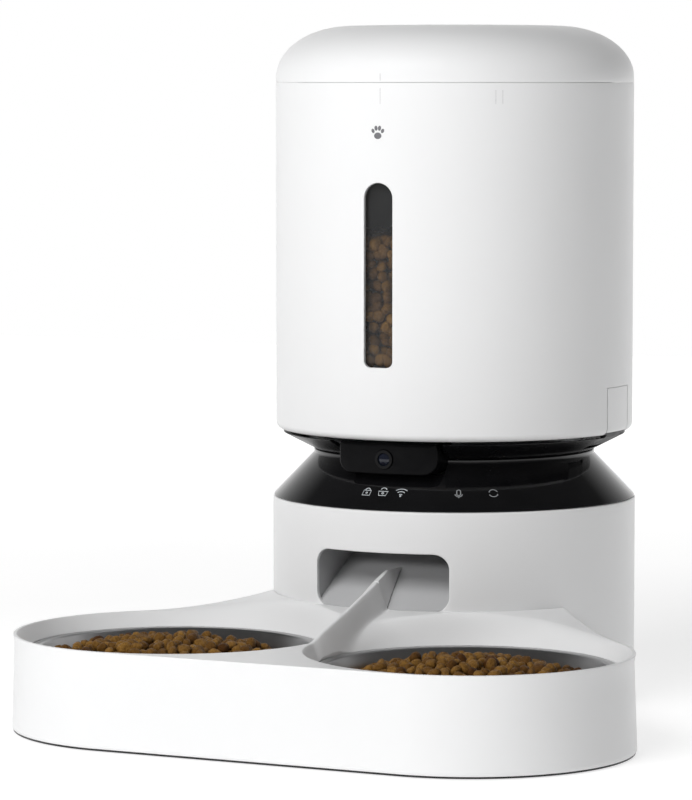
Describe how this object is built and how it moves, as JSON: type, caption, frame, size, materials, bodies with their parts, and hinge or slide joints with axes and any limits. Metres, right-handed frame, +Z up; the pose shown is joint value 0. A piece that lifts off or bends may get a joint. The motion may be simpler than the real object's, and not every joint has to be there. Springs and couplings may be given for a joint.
{
  "type": "automatic pet feeder",
  "caption": "Column-shaped automatic dry food feeder: twist-off lid, lift-off tank with window, camera neck, rotor dispenser, chute, and tray with steel bowls.",
  "frame": {"origin": "centre of the whole feeder's footprint, on the floor it stands on", "axes": "+Z up, -Y towards the bowls (the front), +X to the right seen from the front"},
  "size_m": [0.3324, 0.3456, 0.3613],
  "materials": {
    "white_shell": "satin white moulding",
    "grey_plastic": "fine matt",
    "black_gloss": "polished black",
    "black_plastic": "fine matt",
    "rubber": "matt",
    "silicone": "soft, translucent",
    "clear_plastic": "clear",
    "smoked_plastic": "smoked, polished",
    "lens_glass": "coated",
    "stainless_steel": "spun and polished",
    "gear_plastic": "natural acetal",
    "brass": "machined",
    "circuit_board": "solder mask",
    "contact_plate": "nickel plate",
    "battery_jacket": "gloss jacket",
    "desiccant_cloth": "non-woven"
  },
  "bodies": {
    "base": {"base_shell": "white_shell", "base_bottom_plate": "black_plastic", "base_screws": "stainless_steel", "base_foot_ring": "rubber", "battery_box": "grey_plastic", "battery_cells": "battery_jacket", "battery_contacts": "contact_plate", "main_board": "circuit_board", "board_components": "black_plastic", "power_socket": "black_plastic", "loudspeaker": "black_plastic", "chute_duct": "grey_plastic", "chute_divider": "white_shell", "food_sensors": "black_plastic", "dispenser_drum": "grey_plastic", "outlet_baffle": "grey_plastic", "shaft_bush": "brass", "idler_pin": "stainless_steel", "motor": "stainless_steel", "gearbox_case": "grey_plastic", "control_ring": "black_gloss", "neck_cup": "black_plastic", "camera_housing": "black_gloss", "lens_barrel": "black_plastic", "lens_glass": "lens_glass", "camera_board": "circuit_board", "infrared_leds": "black_plastic", "touch_board": "circuit_board", "light_guides": "clear_plastic", "microphone": "black_plastic"},
    "battery_door": {"battery_door": "black_plastic"},
    "rotor": {"rotor": "grey_plastic", "rotor_flaps": "silicone", "rotor_shaft": "stainless_steel", "agitator": "grey_plastic", "output_gear": "gear_plastic"},
    "idler": {"idler_gear": "gear_plastic"},
    "pinion": {"motor_pinion": "brass", "motor_shaft": "stainless_steel"},
    "tank": {"tank_shell": "white_shell", "window_pane": "smoked_plastic", "tank_liner": "clear_plastic", "tank_base_ring": "grey_plastic"},
    "release_tab_left": {"release_tab_left": "white_shell", "release_hook_left": "black_plastic"},
    "release_tab_right": {"release_tab_right": "white_shell", "release_hook_right": "black_plastic"},
    "lid_plate": {"lid_plate": "grey_plastic", "lid_seal": "silicone", "lid_screw": "stainless_steel", "desiccant_bag": "desiccant_cloth", "desiccant_cap": "grey_plastic"},
    "lid_cover": {"lid_cover": "white_shell"},
    "tray": {"tray_shell": "white_shell", "tray_bottom_plate": "black_plastic", "tray_feet": "rubber", "tray_screws": "stainless_steel"},
    "bowl_left": {"bowl_left": "stainless_steel"},
    "bowl_right": {"bowl_right": "stainless_steel"}
  },
  "joints": [
    {"name": "battery_door_slide", "type": "slide", "parent": "base", "child": "battery_door", "axis": [0, 1, 0], "range_m": [0, 0.012]},
    {"name": "rotor_spin", "type": "hinge", "parent": "base", "child": "rotor", "pos_m": [0, 0.07535, 0.1025], "axis": [0, 0, 1], "continuous": true},
    {"name": "idler_spin", "type": "hinge", "parent": "base", "child": "idler", "pos_m": [0, 0.12545, 0.1025], "axis": [0, 0, 1], "continuous": true},
    {"name": "pinion_spin", "type": "hinge", "parent": "base", "child": "pinion", "pos_m": [-0.0304, 0.143, 0.1025], "axis": [0, 0, 1], "continuous": true},
    {"name": "tank_lift", "type": "slide", "parent": "base", "child": "tank", "axis": [0, 0, 1], "range_m": [0, 0.1]},
    {"name": "release_tab_left_press", "type": "hinge", "parent": "tank", "child": "release_tab_left", "pos_m": [-0.0947, 0.07535, 0.1702], "axis": [0, -1, 0], "range_deg": [0, 6], "stiffness_Nm_per_rad": 0.2},
    {"name": "release_tab_right_press", "type": "hinge", "parent": "tank", "child": "release_tab_right", "pos_m": [0.0947, 0.07535, 0.1702], "axis": [0, 1, 0], "range_deg": [0, 6], "stiffness_Nm_per_rad": 0.2},
    {"name": "lid_lift", "type": "slide", "parent": "tank", "child": "lid_plate", "axis": [0, 0, 1], "range_m": [0, 0.06]},
    {"name": "lid_twist", "type": "hinge", "parent": "lid_plate", "child": "lid_cover", "pos_m": [0, 0.07535, 0.34], "axis": [0, 0, 1], "range_deg": [0, 37.4]},
    {"name": "tray_slide", "type": "slide", "parent": "base", "child": "tray", "axis": [0, -1, 0], "range_m": [0, 0.08]},
    {"name": "bowl_left_lift", "type": "slide", "parent": "tray", "child": "bowl_left", "axis": [0, 0, 1], "range_m": [0, 0.07]},
    {"name": "bowl_right_lift", "type": "slide", "parent": "tray", "child": "bowl_right", "axis": [0, 0, 1], "range_m": [0, 0.07]}
  ],
  "couplings": [
    {"joint": "idler_spin", "follows": "rotor_spin", "ratio": -0.78571},
    {"joint": "pinion_spin", "follows": "rotor_spin", "ratio": 3.1429}
  ]
}
